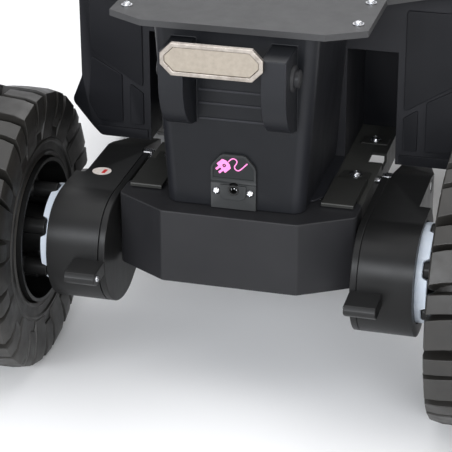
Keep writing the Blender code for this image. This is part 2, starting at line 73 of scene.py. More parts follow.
PLATE_LOW, PLATE_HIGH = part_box("tail_plate")
TUB_LOW, TUB_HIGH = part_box("body_tub")
DECK_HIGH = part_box("deck")[1]
RAIL_LOW, RAIL_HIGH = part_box("rail_right")
SOCKET = mid("charge_socket")
SCREW = mid("port_screw_right")
MM = 0.001
AXLE = (0.0, WHEEL_R)

# ---------------------------------------------------------------- materials


class Nodes:
    """A small helper that adds shader nodes and links them."""

    def __init__(self, name):
        self.material = bpy.data.materials.new(name)
        self.material.use_nodes = True
        self.tree = self.material.node_tree
        self.shader = self.tree.nodes["Principled BSDF"]

    def add(self, kind, **values):
        node = self.tree.nodes.new(kind)
        for key, value in values.items():
            if hasattr(node, key):
                setattr(node, key, value)
            else:
                node.inputs[key.replace("_", " ")].default_value = value
        return node

    def link(self, source, target):
        self.tree.links.new(source, target)

    def feed(self, source, name):
        self.link(source, self.shader.inputs[name])

    def noise(self, scale, detail=3.0, rough=0.55, stretch=None):
        """Noise in the object's own metres."""
        coords = self.add("ShaderNodeTexCoord")
        source = coords.outputs["Object"]
        if stretch:
            mapping = self.add("ShaderNodeMapping")
            mapping.inputs["Scale"].default_value = stretch
            self.link(source, mapping.inputs["Vector"])
            source = mapping.outputs["Vector"]
        node = self.add("ShaderNodeTexNoise")
        node.inputs["Scale"].default_value = scale
        node.inputs["Detail"].default_value = detail
        node.inputs["Roughness"].default_value = rough
        self.link(source, node.inputs["Vector"])
        return node.outputs["Fac"]

    def ramp(self, source, low, high, a, b):
        """Map a value from low..high to a..b, numbers or colours."""
        if isinstance(a, (int, float)):
            node = self.add("ShaderNodeMapRange")
            for key, value in zip(("From Min", "From Max", "To Min", "To Max"), (low, high, a, b)):
                node.inputs[key].default_value = value
            self.link(source, node.inputs["Value"])
            return node.outputs["Result"]
        node = self.add("ShaderNodeValToRGB")
        node.color_ramp.elements[0].position = low
        node.color_ramp.elements[1].position = high
        node.color_ramp.elements[0].color = (*a, 1)
        node.color_ramp.elements[1].color = (*b, 1)
        self.link(source, node.inputs["Fac"])
        return node.outputs["Color"]

    def edge_wear(self, colour, worn, amount=0.35):
        """Lighten the convex edges a little."""
        geometry = self.add("ShaderNodeNewGeometry")
        mask = self.ramp(geometry.outputs["Pointiness"], 0.52, 0.6, 0.0, amount)
        mix = self.add("ShaderNodeMix", data_type="RGBA")
        self.link(mask, mix.inputs["Factor"])
        self.link(colour, mix.inputs["A"])
        mix.inputs["B"].default_value = (*worn, 1)
        return mix.outputs["Result"]

    def bump(self, height, strength, distance, normal=None):
        node = self.add("ShaderNodeBump")
        node.inputs["Strength"].default_value = strength
        node.inputs["Distance"].default_value = distance
        self.link(height, node.inputs["Height"])
        if normal:
            self.link(normal, node.inputs["Normal"])
        return node.outputs["Normal"]


def plastic(name, dark, light, rough, grain, worn=(0.1, 0.1, 0.1), grain_scale=2200.0, shine=0.5):
    """Moulded plastic: fine grain, broad colour drift, handling marks and paler edges."""
    m = Nodes(name)
    drift = m.noise(9.0, 4.0)
    colour = m.ramp(drift, 0.35, 0.65, dark, light)
    m.feed(m.edge_wear(colour, worn), "Base Color")
    smear = m.noise(38.0, 5.0, 0.65, (1.0, 1.0, 0.35))
    m.feed(m.ramp(smear, 0.35, 0.7, rough[0], rough[1]), "Roughness")
    fine = m.bump(m.noise(grain_scale, 2.0), grain, 0.00008)
    m.feed(m.bump(m.noise(60.0, 2.0), 0.05, 0.0004, fine), "Normal")
    m.shader.inputs["IOR"].default_value = 1.48
    m.shader.inputs["Specular IOR Level"].default_value = shine
    return m.material


def metal(name, dark, light, rough, streak=(1.0, 1.0, 1.0), bump=0.12, metallic=1.0):
    """Plated or brushed metal with clouded tone and fine scratches."""
    m = Nodes(name)
    m.shader.inputs["Metallic"].default_value = metallic
    cloud = m.noise(140.0, 5.0, 0.6)
    m.feed(m.ramp(cloud, 0.35, 0.68, dark, light), "Base Color")
    scratch = m.noise(900.0, 3.0, 0.6, streak)
    m.feed(m.ramp(scratch, 0.3, 0.75, rough[0], rough[1]), "Roughness")
    m.feed(m.bump(scratch, bump, 0.00006), "Normal")
    return m.material


def tyre_rubber():
    """Rubber with a brown bloom, a dusty tread and faint moulding texture."""
    m = Nodes("tyre_rubber")
    bloom = m.noise(16.0, 6.0, 0.6)
    colour = m.ramp(bloom, 0.34, 0.7, (0.006, 0.0058, 0.0054), (0.0165, 0.015, 0.013))
    m.feed(m.edge_wear(colour, (0.085, 0.08, 0.072), 0.3), "Base Color")
    m.feed(m.ramp(m.noise(70.0, 4.0), 0.35, 0.7, 0.34, 0.52), "Roughness")
    fine = m.bump(m.noise(1500.0, 3.0), 0.16, 0.0001)
    m.feed(m.bump(m.noise(120.0, 3.0), 0.18, 0.0006, fine), "Normal")
    m.shader.inputs["IOR"].default_value = 1.52
    m.shader.inputs["Specular IOR Level"].default_value = 0.42
    return m.material


def printed(name, colour, rough):
    """Flat ink or label film with slight mottling."""
    m = Nodes(name)
    darker = tuple(c * 0.82 for c in colour)
    m.feed(m.ramp(m.noise(260.0, 4.0), 0.3, 0.7, darker, colour), "Base Color")
    m.feed(m.ramp(m.noise(700.0, 2.0), 0.3, 0.7, rough, rough + 0.12), "Roughness")
    m.feed(m.bump(m.noise(1800.0, 2.0), 0.08, 0.00005), "Normal")
    return m.material


RUBBER = tyre_rubber()
GLOSS = plastic("gloss_plastic", (0.005, 0.005, 0.005), (0.008, 0.008, 0.0078), (0.32, 0.4), 0.05,
                (0.05, 0.05, 0.05), shine=0.24)
SATIN = plastic("satin_plastic", (0.0085, 0.0085, 0.01), (0.0125, 0.0125, 0.014), (0.38, 0.48), 0.24,
                shine=0.24)
COLUMN = plastic("column_plastic", (0.005, 0.0055, 0.007), (0.0085, 0.0092, 0.011), (0.34, 0.44), 0.18,
                 (0.07, 0.07, 0.08), shine=0.2)
PORT = plastic("port_plastic", (0.0115, 0.013, 0.0135), (0.016, 0.0178, 0.0182), (0.4, 0.52), 0.24,
               shine=0.22)
TUBPLASTIC = plastic("tub_plastic", (0.0035, 0.0038, 0.005), (0.006, 0.0064, 0.008), (0.32, 0.42), 0.16,
                     (0.05, 0.05, 0.055), shine=0.14)
NYLON = plastic("nylon", (0.6, 0.67, 0.76), (0.7, 0.76, 0.84), (0.3, 0.42), 0.12, (0.85, 0.88, 0.92))
CASE = plastic("battery_case", (0.03, 0.032, 0.034), (0.045, 0.047, 0.05), (0.42, 0.58), 0.3)
POWDER = plastic("powder_coat", (0.006, 0.006, 0.0058), (0.0105, 0.0105, 0.0098), (0.3, 0.44), 0.45,
                 (0.13, 0.13, 0.12), 1100.0, 0.24)
ZINC = metal("zinc_plate", (0.52, 0.53, 0.55), (0.78, 0.78, 0.8), (0.16, 0.34))
STEEL = metal("motor_steel", (0.2, 0.2, 0.21), (0.34, 0.34, 0.35), (0.26, 0.44), (0.15, 1.0, 1.0))
BLUED = metal("blued_tube", (0.06, 0.066, 0.08), (0.12, 0.128, 0.15), (0.34, 0.52), (0.15, 1.0, 1.0))
BRASS = metal("brass", (0.55, 0.4, 0.16), (0.72, 0.55, 0.25), (0.2, 0.36))
PLATE_RIM = metal("plate_rim", (0.27, 0.24, 0.21), (0.42, 0.38, 0.34), (0.26, 0.42), (0.2, 1.0, 1.0))
PLATE_FACE = printed("plate_face", (0.3, 0.26, 0.21), 0.38)
PINK = printed("icon_pink", (0.98, 0.25, 0.6), 0.36)
LABEL = printed("label_white", (0.86, 0.78, 0.72), 0.4)
RED = printed("label_red", (0.7, 0.03, 0.03), 0.4)
BUSH = plastic("bush_rubber", (0.01, 0.01, 0.01), (0.018, 0.017, 0.016), (0.55, 0.7), 0.4)

# ---------------------------------------------------------------- shape tools


def outward(bm):
    bmesh.ops.recalc_face_normals(bm, faces=bm.faces)
    return bm


def loft(*outlines):
    """A solid through two or more outlines with the same number of points."""
    bm = bmesh.new()
    rows = [[bm.verts.new(point) for point in outline] for outline in outlines]
    bm.faces.new(rows[0])
    bm.faces.new(rows[-1])
    for near, far in zip(rows, rows[1:]):
        for k in range(len(near)):
            n = (k + 1) % len(near)
            bm.faces.new((near[k], near[n], far[n], far[k]))
    return outward(bm)


def prism_x(outline, low, high):
    return loft([(low, y, z) for y, z in outline], [(high, y, z) for y, z in outline])


def prism_y(outline, low, high):
    return loft([(x, low, z) for x, z in outline], [(x, high, z) for x, z in outline])


def prism_z(outline, low, high):
    return loft([(x, y, low) for x, y in outline], [(x, y, high) for x, y in outline])


def box(x0, x1, y0, y1, z0, z1):
    return prism_z([(x0, y0), (x1, y0), (x1, y1), (x0, y1)], z0, z1)


def arc(centre, radius, start, end, steps):
    """Points along an arc, angles in degrees, both ends included."""
    turns = [radians(start + (end - start) * k / steps) for k in range(steps + 1)]
    return [(centre[0] + radius * cos(t), centre[1] + radius * sin(t)) for t in turns]


def circle(centre, radius, sides):
    return arc(centre, radius, 0, 360 - 360 / sides, sides - 1)


def rounded(points, radius, steps=5):
    """An outline with every corner rounded."""
    result = []
    for k, here in enumerate(points):
        before = Vector(points[k - 1])
        after = Vector(points[(k + 1) % len(points)])
        corner = Vector(here)
        first, second = (before - corner), (after - corner)
        angle = first.angle(second)
        reach = min(radius / tan(angle / 2), first.length * 0.48, second.length * 0.48)
        start, end = corner + first.normalized() * reach, corner + second.normalized() * reach
        for s in range(steps + 1):
            t = s / steps
            result.append(tuple(start * (1 - t) ** 2 + corner * 2 * t * (1 - t) + end * t ** 2))
    return result


def mm(*points):
    """Points given in millimetres."""
    return [(a * MM, b * MM) for a, b in points]


def from_face(start, *points):
    """(along, radius) points in millimetres, the first measured from a face."""
    return [(start + a * MM, b * MM) for a, b in points]


def rect(x, y, half_x, half_y):
    """Corners of a rectangle round a point, in millimetres."""
    return mm(*[(x + a * half_x, y + b * half_y) for a, b in ((-1, -1), (1, -1), (1, 1), (-1, 1))])


def swung(points, turn, centre):
    """Points turned about the origin and moved to a centre."""
    c, s = cos(turn), sin(turn)
    return [(centre[0] + a * c - b * s, centre[1] + a * s + b * c) for a, b in points]


def mirrored(right):
    """An outline completed with its mirror image in the first coordinate."""
    return right + [(-x, y) for x, y in reversed(right)]


AXIS_ORDER = {"X": (0, 1, 2), "Y": (1, 0, 2), "Z": (1, 2, 0)}


def turned(centre, profile, sides=64, axis="X", closed=False):
    """A turned solid of (along, radius) points about an axis through a centre."""
    bm = bmesh.new()
    rows = []
    for along, radius in profile:
        row = []
        for k in range(1 if radius < 1e-9 else sides):
            turn = tau * k / sides
            a, b = centre[0] + radius * cos(turn), centre[1] + radius * sin(turn)
            row.append(bm.verts.new([(along, a, b)[i] for i in AXIS_ORDER[axis]]))
        rows.append(row)
    pairs = list(zip(rows, rows[1:])) + ([(rows[-1], rows[0])] if closed else [])
    for near, far in pairs:
        for k in range(sides):
            n = (k + 1) % sides
            if len(near) == 1:
                bm.faces.new((near[0], far[k], far[n]))
            elif len(far) == 1:
                bm.faces.new((near[k], near[n], far[0]))
            else:
                bm.faces.new((near[k], near[n], far[n], far[k]))
    return outward(bm)


def rod(centre, low, high, radius, sides, axis="X"):
    """A plain cylinder."""
    return turned(centre, [(low, 0), (low, radius), (high, radius), (high, 0)], sides, axis)


def merged(*shapes):
    """Several shapes in one bmesh, each still its own shell."""
    whole = bmesh.new()
    for shape in shapes:
        mesh = bpy.data.meshes.new("part")
        shape.to_mesh(mesh)
        shape.free()
        whole.from_mesh(mesh)
        bpy.data.meshes.remove(mesh)
    return whole


def flattened(made):
    """Replace the mesh by what the modifiers give."""
    graph = bpy.context.evaluated_depsgraph_get()
    mesh = bpy.data.meshes.new_from_object(made.evaluated_get(graph))
    made.modifiers.clear()
    old = made.data
    made.data = mesh
    bpy.data.meshes.remove(old)


def to_front(shape):
    """Mirror a shape to the other end."""
    shape.transform(Matrix.Diagonal((1, -1, 1, 1)))
    bmesh.ops.reverse_faces(shape, faces=shape.faces)
    return shape


def add_object(name, data):
    made = bpy.data.objects.new(name, data)
    bpy.context.scene.collection.objects.link(made)
    return made


def to_object(name, bm):
    """A new object from a bmesh, which is used up."""
    mesh = bpy.data.meshes.new(name)
    bm.to_mesh(mesh)
    bm.free()
    return add_object(name, mesh)


WELD = 0.015 * MM
FLAT_ENOUGH = radians(0.5)


def solid(base, joins=(), cuts=()):
    """A bmesh of a base shape after Boolean joins and cuts."""
    target = to_object("tool", base)
    tools = []
    for shape, operation in [(s, "UNION") for s in joins] + [(s, "DIFFERENCE") for s in cuts]:
        tool = to_object("tool", shape)
        step = target.modifiers.new("step", "BOOLEAN")
        step.object, step.operation, step.solver = tool, operation, "EXACT"
        tools.append(tool)
    flattened(target)
    result = bmesh.new()
    result.from_mesh(target.data)
    bmesh.ops.remove_doubles(result, verts=result.verts, dist=WELD)
    bmesh.ops.dissolve_limit(result, angle_limit=FLAT_ENOUGH, verts=result.verts, edges=result.edges)
    for made in tools + [target]:
        mesh = made.data
        bpy.data.objects.remove(made)
        bpy.data.meshes.remove(mesh)
    return result


def finish_mesh(made, bevel, segments=2, angle=28):
    """Round the edges and shade smooth."""
    made.data.shade_smooth()
    if bevel:
        step = made.modifiers.new("bevel", "BEVEL")
        step.width, step.segments = bevel, segments
        step.limit_method, step.angle_limit = "ANGLE", radians(angle)
        made.modifiers.new("flat_faces", "WEIGHTED_NORMAL").keep_sharp = False
    else:
        made.data.set_sharp_from_angle(angle=radians(angle + 8))


def piece(name, bm, mat, bevel=0.0, replaces=(), segments=2, angle=28, body="chassis"):
    """A visible piece that rides on a body."""
    made = to_object(name, bm)
    made.data.materials.append(mat)
    finish_mesh(made, bevel, segments, angle)
    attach(made, body)
    if replaces:
        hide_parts(*replaces)
    return made


SIDES = ((-1, "left"), (1, "right"))
CORNERS = [(end, side, ("r" if end < 0 else "f") + ("l" if side < 0 else "r"))
           for end in (-1, 1) for side in (-1, 1)]


def corner_pieces(name, bm, mat, body, bevel=0.0, replaces=None, segments=2, angle=28, only=None):
    """The same corner shape at every wheel, or at some. body and replaces are name stems."""
    for end, side, tag in CORNERS:
        if only and tag not in only:
            continue
        copy = bm.copy()
        copy.transform(Matrix(((side, 0, 0, 0), (0, -end, 0, end * HALF_BASE), (0, 0, 1, 0), (0, 0, 0, 1))))
        if side * end > 0:
            bmesh.ops.reverse_faces(copy, faces=copy.faces)
        where = body if body == "chassis" else f"{body}_{tag}"
        swaps = [f"{replaces}_{tag}"] if replaces else []
        piece(f"{name}_{tag}", copy, mat, bevel, swaps, segments, angle, where)
    bm.free()


# ---------------------------------------------------------------- camera, stage and light

CAMERA_AT = (0.4125, -1.8948, 0.949)
CAMERA_TURN, CAMERA_DOWN, CAMERA_ROLL = 15.0, 25.45, -0.24
FOCAL_LENGTH = 152.9
SENSOR_WIDTH = 36.0
CAMERA_REACH = 20
camera_data = bpy.data.cameras.new("camera")
camera_data.lens = FOCAL_LENGTH
camera_data.sensor_width = SENSOR_WIDTH
camera_data.clip_end = CAMERA_REACH
camera = add_object("camera", camera_data)
camera.location = CAMERA_AT
camera.rotation_euler = (Matrix.Rotation(radians(CAMERA_TURN), 3, "Z")
                         @ Matrix.Rotation(radians(90 - CAMERA_DOWN), 3, "X")
                         @ Matrix.Rotation(radians(CAMERA_ROLL), 3, "Z")).to_euler()
bpy.context.scene.camera = camera


def area_light(name, place, target, size, power, colour=(1, 1, 1)):
    data = bpy.data.lights.new(name, "AREA")
    data.shape = "RECTANGLE"
    data.size, data.size_y = size
    data.energy = power
    data.color = colour
    made = add_object(name, data)
    made.location = place
    made.rotation_euler = (Vector(target) - Vector(place)).to_track_quat("-Z", "Y").to_euler()


area_light("key", (0.0, -3.2, 1.35), (0, -0.3, 0.15), (4.6, 0.55), 120, (0.93, 0.96, 1.0))
area_light("fill", (2.4, -1.2, 1.2), (0, -0.2, 0.15), (1.4, 1.4), 16, (1.0, 0.94, 0.86))
area_light("back", (0.0, 2.4, 2.4), (0, 0, 0.2), (2.4, 1.2), 26)
area_light("top", (-0.2, -0.1, 3.2), (0, 0, 0), (4.0, 4.0), 60)

world = bpy.data.worlds.new("studio")
world.use_nodes = True
world.node_tree.nodes["Background"].inputs["Color"].default_value = (0.95, 0.96, 1.0, 1)
world.node_tree.nodes["Background"].inputs["Strength"].default_value = 0.62
bpy.context.scene.world = world
bpy.context.scene.view_settings.view_transform = "Standard"

FLOOR_REACH, FLOOR_DEPTH = 9, 0.02
floor_material = Nodes("floor")
floor_cloud = floor_material.noise(2.0, 2.0)
floor_tone = floor_material.ramp(floor_cloud, 0.3, 0.7, (0.9, 0.9, 0.9), (0.94, 0.94, 0.94))
floor_material.link(floor_tone, floor_material.shader.inputs["Base Color"])
floor_material.shader.inputs["Roughness"].default_value = 0.8
floor = to_object("floor", box(-FLOOR_REACH, FLOOR_REACH, -FLOOR_REACH, FLOOR_REACH, -FLOOR_DEPTH, 0.0))
floor.data.materials.append(floor_material.material)

# ---------------------------------------------------------------- wheels

CROWN_R = WHEEL_R
CARCASS_R = WHEEL_R - 12.5 * MM
HALF_WIDTH = (TYRE_HIGH.x - TYRE_LOW.x) / 2
BEAD_R = 72 * MM
TURN_LUGS = 14


def tyre_carcass():
    """Smooth casing with moulded rings on both sidewalls, hollow inside."""
    wall = ((8, 0), (4.5, 1.5), (3.2, 5), (4.6, 7), (4.2, 14), (2.6, 15.5), (2.6, 17.5), (3.8, 19), (4.4, 30),
            (7, 38), (11, 46))
    side = [(HALF_WIDTH - a * MM, BEAD_R + b * MM) for a, b in wall]
    side += [(HALF_WIDTH - 18 * MM, CARCASS_R - 2.6 * MM), (HALF_WIDTH - 28 * MM, CARCASS_R - 0.5 * MM),
             (0.0, CARCASS_R)]
    inner = [(HALF_WIDTH - 16 * MM, CARCASS_R - 18 * MM), (HALF_WIDTH - 18 * MM, BEAD_R)]
    profile = [(TYRE_MID + x, r) for x, r in side] + [(TYRE_MID - x, r) for x, r in reversed(side[:-1])]
    profile += [(TYRE_MID - x, r) for x, r in reversed(inner)] + [(TYRE_MID + x, r) for x, r in inner]
    return turned(AXLE, profile, 168, closed=True)


def lug(turn, side, width, start, wall_end, slant):
    """One chunky tread bar: flat across the crown, square at the shoulder, then down the sidewall."""
    half = HALF_WIDTH
    bend = ((34, 3, 34, 0), (18, 6, 14, 0.4), (11, 12, 2.6, 2.6), (8, 18, 0.4, 12), (7, 26, 0.8, 26))
    path = ([((start, CARCASS_R - 3 * MM), (start + 1.4 * MM, CROWN_R - 0.6 * MM))]
            + [((half - a * MM, CARCASS_R - b * MM), (half - c * MM, CROWN_R - d * MM))
               for a, b, c, d in bend]
            + [((half - 6.5 * MM, wall_end - 2 * MM), (half - 3 * MM, wall_end))])
    bm = bmesh.new()
    rows = []
    for k, (base, top) in enumerate(path):
        centre = turn + slant * (1 - k / (len(path) - 1)) ** 1.3
        row = []
        for (x, radius), spread in ((base, 1.1), (top, 0.96)):
            reach = width * spread / 2 / radius * (radius / CROWN_R) ** 0.4
            for angle in (centre - reach, centre + reach):
                y, z = AXLE[0] + radius * cos(angle), AXLE[1] + radius * sin(angle)
                row.append((TYRE_MID + side * x, y, z))
        rows.append([bm.verts.new(row[i]) for i in (0, 1, 3, 2)])
    bm.faces.new(rows[0])
    bm.faces.new(rows[-1])
    for near, far in zip(rows, rows[1:]):
        for k in range(4):
            bm.faces.new((near[k], near[(k + 1) % 4], far[(k + 1) % 4], far[k]))
    return outward(bm)


def tyre_tread():
    """Wide and narrow bars by turns, staggered between the two shoulders."""
    bars = []
    step = tau / TURN_LUGS
    for side in (-1, 1):
        for k in range(TURN_LUGS):
            turn = step * (k + (0.25 if side > 0 else 0.0))
            bars.append(lug(turn, side, 30 * MM, 3 * MM, BEAD_R + 20 * MM, side * 0.12))
            bars.append(lug(turn + step / 2, side, 18 * MM, 15 * MM, BEAD_R + 30 * MM, side * 0.09))
    return merged(*bars)


def build_tyre():
    carcass, tread = tyre_carcass(), tyre_tread()
    corner_pieces("tyre_casing", carcass, RUBBER, "wheel", 0.0, "tyre", angle=24)
    corner_pieces("tyre_tread", tread, RUBBER, "wheel", 1.1 * MM, segments=2, angle=20)


def build_rim():
    """Deep black wheel: barrel with flanges, dished web with pockets, drive posts and a hub."""
    low, high = RIM_LOW.x + 15.7 * MM, RIM_HIGH.x
    web, outer_hub = 232 * MM, 270 * MM
    profile = from_face(low, (0, 71.1), (-0.4, 71.3), (-0.4, 67.9), (4, 67.1))
    profile += from_face(web, (-6, 66.1), (0, 59.1), (0, 30), (-5, 25))
    profile += from_face(RIM_LOW.x, (2, 20), (0, 18.5), (0, 8.4))
    profile += from_face(outer_hub, (0, 8.4), (0, 17), (-2, 19.5))
    profile += from_face(web, (16, 24), (7, 34), (6, 55.1), (12, 64.1))
    profile += from_face(high, (-6, 67.1), (-2, 68.1), (0, 70.1), (0, 71.1))
    pockets = []
    for k in range(6):
        turn = radians(60 * k)
        centre = (46 * MM * cos(turn), WHEEL_R + 46 * MM * sin(turn))
        outline = swung(rounded(mm((-11, -7), (9, -13), (9, 13), (-11, 7)), 5 * MM, 4), turn, centre)
        pockets.append(prism_x(outline, web + 3 * MM, web + 20 * MM))
    rim = solid(turned(AXLE, profile, 72, closed=True), cuts=pockets)
    corner_pieces("wheel_rim", rim, GLOSS, "wheel", 0.9 * MM, "rim", angle=26)
    posts = []
    for k in range(6):
        turn = radians(60 * (k + 0.5))
        centre = (43 * MM * cos(turn), WHEEL_R + 43 * MM * sin(turn))
        profile = mm((181.7, 0), (181.7, 6.6), (182.9, 7.8), (206, 8), (207, 9.4), (233, 9.8), (233, 0))
        posts.append(turned(centre, profile, 28))
        rib = swung(mm((30, -1.6), (66, -1.6), (66, 1.6), (30, 1.6)), turn + radians(30), AXLE)
        posts.append(prism_x(rib, 214 * MM, 233 * MM))
    corner_pieces("wheel_posts", merged(*posts), GLOSS, "wheel", 0.6 * MM)


def build_drive_ring():
    """White nylon output gear inside the box, with its dog ring standing out of the drum."""
    gear_in, gear_out, face, lobe = RING_LOW.x, RING_LOW.x + 10 * MM, 181.3 * MM, RING_HIGH.x
    columns, lobes, teeth_round, tip = 144, 6, 24, 47.4 * MM
    lobe_half, lobe_ramp = 0.345, 0.05
    bm = bmesh.new()
    rows = []
    for k in range(columns):
        turn = tau * k / columns
        share = abs((k / columns * lobes + 0.5) % 1.0 - 0.5)
        rise = min(max((lobe_half - share) / lobe_ramp, 0.0), 1.0)
        end = face + (lobe - face) * rise
        loop = [(gear_out - 0.5 * MM, 38 * MM), (gear_out - 0.5 * MM, tip), (end - 0.7 * MM, tip),
                (end, 46.7 * MM), (end, 38.7 * MM), (end - 0.7 * MM, 38 * MM)]
        rows.append([bm.verts.new((x, r * cos(turn), WHEEL_R + r * sin(turn))) for x, r in loop])
    for k, near in enumerate(rows):
        far = rows[(k + 1) % columns]
        for a in range(len(near)):
            b = (a + 1) % len(near)
            bm.faces.new((near[a], near[b], far[b], far[a]))
    idler = mid("idler_gear_rr")
    towards = atan2(idler.z - WHEEL_R, idler.y + HALF_BASE)
    teeth = []
    for k in range(teeth_round):
        middle = towards + tau * k / teeth_round
        for share, radius in ((-1.0, 40.9 * MM), (-0.2, tip), (0.2, tip)):
            turn = middle + share * pi / teeth_round
            teeth.append((radius * cos(turn), WHEEL_R + radius * sin(turn)))
    bore = rod(AXLE, gear_in - 5 * MM, gear_out + 5 * MM, 8.4 * MM, 40)
    wheel = solid(prism_x(teeth, gear_in, gear_out), joins=[outward(bm)], cuts=[bore])
    corner_pieces("dog_gear", wheel, NYLON, "wheel", 0.0, "drive_gear", angle=30)


def build_hub_nut():
    """Washer, domed lock nut and axle end, seen in the outer dish."""
    low = 270.6 * MM
    washer = rod(AXLE, low, low + 1.6 * MM, 14.6 * MM, 48)
    dome = turned(AXLE, from_face(low, (8, 0), (8, 9), (11.5, 8.4), (12.2, 7.2), (12.2, 0)), 36)
    nut = solid(prism_x(circle(AXLE, 11.4 * MM, 6), low + 1.6 * MM, low + 9 * MM), joins=[dome])
    stem = turned(AXLE, from_face(low, (12, 0), (12, 6), (13.8, 6), (14.4, 5.2), (14.4, 0)), 30)
    head = mm((124.7, 0), (124.7, 12), (148.5, 12), (148.5, 8))
    shaft = turned(AXLE, head + [(low, 8 * MM), (low, 0)], 36)
    corner_pieces("axle_end", merged(washer, nut, stem, shaft), ZINC, "arm", 0.5 * MM, "axle")


# ---------------------------------------------------------------- gearbox arms

BOX_TOP = SHELL_HIGH.z
DRUM_R = 61 * MM
SEAM = COVER_HIGH.x + 0.3 * MM
DRUM_OUT = SHELL_HIGH.x
ARM_OUT = 165 * MM
ARM_IN = COVER_LOW.x
EYE_FACE = 127 * MM
EYE_WALL = 91.5 * MM
NOSE = SHELL_HIGH.y + HALF_BASE
WALL = 3 * MM
FLAT_END = -2 * MM
SHOULDER_LEAD, SHOULDER_PULL = 27 * MM, 21 * MM
SHOULDER_STEPS = 12
SHOULDER_ANGLE, FOOT_ANGLE, DRUM_STEP = 154, 298, 4
ARM_RISE = 0.408


def drum_back(inset, last):
    """From the flat top, down a soft shoulder and round the drum to an angle, in even steps."""
    radius, top = DRUM_R - inset, BOX_TOP - inset
    meet = radians(SHOULDER_ANGLE)
    start = Vector((radius * cos(meet), WHEEL_R + radius * sin(meet)))
    along = Vector((sin(meet), -cos(meet)))
    flat = Vector((FLAT_END, top))
    pull, lead = start + along * SHOULDER_PULL, flat - Vector((SHOULDER_LEAD, 0))
    curve = []
    for k in range(SHOULDER_STEPS + 1):
        t = k / SHOULDER_STEPS
        curve.append(tuple(flat * (1 - t) ** 3 + lead * 3 * t * (1 - t) ** 2 + pull * 3 * t * t * (1 - t)
                           + start * t ** 3))
    steps = round((last - SHOULDER_ANGLE) / DRUM_STEP)
    return curve + arc(AXLE, radius, SHOULDER_ANGLE + DRUM_STEP, last, steps - 1)


def drum_outline(inset):
    """The whole drum: soft shoulder at the back, flat top."""
    radius, top = DRUM_R - inset, BOX_TOP - inset
    last = 360 + degrees(asin((top - WHEEL_R) / radius))
    whole = SHOULDER_ANGLE + DRUM_STEP * int((last - SHOULDER_ANGLE) / DRUM_STEP)
    turn = radians(last)
    return drum_back(inset, whole) + [(AXLE[0] + radius * cos(turn), AXLE[1] + radius * sin(turn))]


def side_outline(inset, end_v):
    """Drum and arm from the side, up to a given distance along the arm."""
    low = drum_back(inset, FOOT_ANGLE)
    foot = low[-1]
    return low + [(end_v, foot[1] + ARM_RISE * (end_v - foot[0])), (end_v, BOX_TOP - inset)]


def build_shell():
    """Outer half of the gearbox, the arm with its eye, and the rounded step between drum and arm."""
    eye = mm((60, 112), (88.5, 112), (150, 134))
    eye += [(NOSE, 145 * MM), (NOSE, 176.2 * MM), (102.5 * MM, BOX_TOP), (60 * MM, BOX_TOP)]
    drum = prism_x(drum_outline(0), ARM_OUT - 1 * MM, DRUM_OUT)
    arm = prism_x(side_outline(0, EYE_WALL), SEAM, ARM_OUT)
    eye_block = prism_x(eye, EYE_FACE, ARM_OUT)
    slope = [(ARM_OUT - 12 * MM, 170 * MM), (ARM_OUT + 4 * MM, 100 * MM), (ARM_OUT + 4 * MM, 170 * MM)]
    chamfer = prism_z(slope, 100 * MM, 200 * MM)
    notch = box(ARM_IN - 5 * MM, EYE_FACE, EYE_WALL - 0.01 * MM, 200 * MM, 50 * MM, 250 * MM)
    inside = prism_x(side_outline(WALL, EYE_WALL - WALL), SEAM - 10 * MM, ARM_OUT - WALL)
    drum_inside = rod(AXLE, SEAM - 10 * MM, DRUM_OUT - WALL, 50 * MM, 72)
    ring_hole = rod(AXLE, ARM_OUT - 8 * MM, DRUM_OUT + 5 * MM, 48.7 * MM, 96)
    bolt_hole = rod(EYE, EYE_FACE - 5 * MM, ARM_OUT + 5 * MM, 7 * MM, 40)
    cuts = [notch, chamfer, inside, drum_inside, ring_hole, bolt_hole]
    shell = solid(arm, joins=[drum, eye_block], cuts=cuts)
    corner_pieces("gearbox", shell, GLOSS, "arm", 1.6 * MM, "gearbox_shell", 3, 32)


def build_cover():
    """Inner half of the gearbox with the hole for the motor's boss."""
    body = solid(prism_x(side_outline(0, EYE_WALL), ARM_IN, SEAM - 0.3 * MM),
                 cuts=[prism_x(side_outline(WALL, EYE_WALL - WALL), ARM_IN + WALL, SEAM + 5 * MM),
                       rod(MOTOR_AT, 110 * MM, 130 * MM, 6 * MM, 32)])
    corner_pieces("gearbox_side", body, GLOSS, "arm", 1.2 * MM, "gearbox_cover", 3, 32)


def build_tab():
    """Screw lug under the drum: sloping top, rounded lower edge and a pan screw in its inner end."""
    low, high = ARM_IN + 0.5 * MM, 148 * MM
    tip, top, under = -91.5 * MM, 143 * MM, 127 * MM
    root = -59.5 * MM
    outline = [(root, top - 1 * MM), (tip + 3 * MM, top - 2 * MM)]
    outline += arc((tip + 5 * MM, top - 8 * MM), 5 * MM, 150, 230, 5)
    outline += [(tip + 8 * MM, under), (root, under + 0.5 * MM)]
    corner_pieces("screw_lug", prism_x(outline, low, high), GLOSS, "arm", 1.2 * MM)
    centre = (tip + 9 * MM, 134.5 * MM)
    head = from_face(low, (-0.1, 0), (-0.1, 3.3), (-1, 3), (-1.6, 2), (-1.8, 0))
    cross = [box(low - 4 * MM, low - 0.9 * MM, centre[0] - a, centre[0] + a, centre[1] - b, centre[1] + b)
             for a, b in ((2 * MM, 0.4 * MM), (0.4 * MM, 2 * MM))]
    corner_pieces("lug_screw", solid(turned(centre, head, 28), cuts=cross), ZINC, "arm", angle=30)


